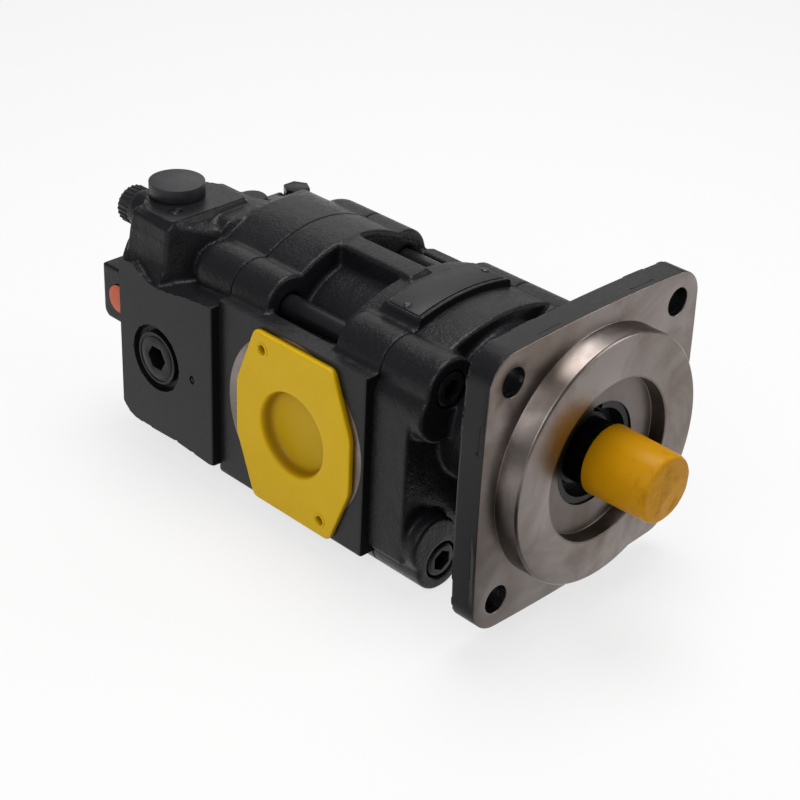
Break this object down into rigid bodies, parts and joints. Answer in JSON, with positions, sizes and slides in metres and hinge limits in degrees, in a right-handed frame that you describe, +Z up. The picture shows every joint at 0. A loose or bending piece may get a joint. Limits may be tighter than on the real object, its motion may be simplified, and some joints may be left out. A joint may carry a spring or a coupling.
{
  "type": "hydraulic gear pump",
  "caption": "External gear pump in a black casting with a square bolt flange, splined shaft under a sleeve, side suction port under a yellow cover and a rear valve cover.",
  "frame": {"origin": "centre of the pilot at the flange's mounting face", "axes": "-Y along the shaft towards its splined end, +Z up towards the top port, the suction port faces -X"},
  "size_m": [0.148, 0.3372, 0.16],
  "materials": {
    "black_casting": "black paint over a sand-cast skin, semi-gloss",
    "gear_steel": "ground and hardened steel",
    "spring_steel": "drawn spring steel",
    "dark_steel": "steel painted black with the casting",
    "block_aluminium": "machined",
    "rivet_aluminium": "plain",
    "bush_bronze": "bearing bronze",
    "seal_rubber": "matte",
    "yellow_plastic": "moulded yellow plastic",
    "amber_plastic": "soft amber plastic, a little greasy",
    "orange_plastic": "moulded orange plastic",
    "black_plastic": "moulded black plastic",
    "dark_plate": "thin bare plate, black"
  },
  "bodies": {
    "housing": {"front_cover": "black_casting", "pump_body": "black_casting", "rear_cover": "black_casting", "front_bearing_block": "block_aluminium", "rear_bearing_block": "block_aluminium", "front_bushes": "bush_bronze", "rear_bushes": "bush_bronze", "front_block_seal": "seal_rubber", "rear_block_seal": "seal_rubber", "front_body_seal": "seal_rubber", "rear_body_seal": "seal_rubber", "shaft_seal": "seal_rubber", "seal_retaining_ring": "spring_steel", "front_dowels": "gear_steel", "rear_dowels": "gear_steel", "tie_bolts": "dark_steel", "suction_cover": "yellow_plastic", "cover_push_pins": "yellow_plastic", "name_plate": "dark_plate", "name_plate_rivets": "rivet_aluminium", "spool_plug_left": "dark_steel", "spool_plug_right": "dark_steel", "spool_plug_seals": "seal_rubber", "spool_spring": "spring_steel", "top_port_cap": "black_plastic", "control_port_plug": "orange_plastic", "gallery_ball_plug": "rivet_aluminium", "gallery_hex_plug": "dark_steel", "relief_cartridge": "gear_steel", "relief_spring": "spring_steel", "relief_adjuster": "dark_steel", "relief_lock_nut": "dark_steel", "ribbed_cap": "black_plastic"},
    "drive_gear": {"drive_gear_shaft": "gear_steel", "shaft_sleeve": "amber_plastic"},
    "driven_gear": {"driven_gear_shaft": "gear_steel"},
    "spool": {"priority_spool": "gear_steel"},
    "poppet": {"relief_poppet": "gear_steel"}
  },
  "joints": [
    {"name": "drive_spin", "type": "hinge", "parent": "housing", "child": "drive_gear", "pos_m": [0, 0, 0], "axis": [0, -1, 0], "continuous": true},
    {"name": "driven_spin", "type": "hinge", "parent": "housing", "child": "driven_gear", "pos_m": [0, 0.134, -0.045], "axis": [0, -1, 0], "continuous": true},
    {"name": "spool_slide", "type": "slide", "parent": "housing", "child": "spool", "axis": [1, 0, 0], "range_m": [0, 0.006], "stiffness_N_per_m": 4000, "springref_m": -0.004},
    {"name": "poppet_slide", "type": "slide", "parent": "housing", "child": "poppet", "axis": [0, 1, 0], "range_m": [0, 0.0015], "stiffness_N_per_m": 20000, "springref_m": -0.003}
  ],
  "couplings": [
    {"joint": "driven_spin", "follows": "drive_spin", "ratio": -1}
  ]
}
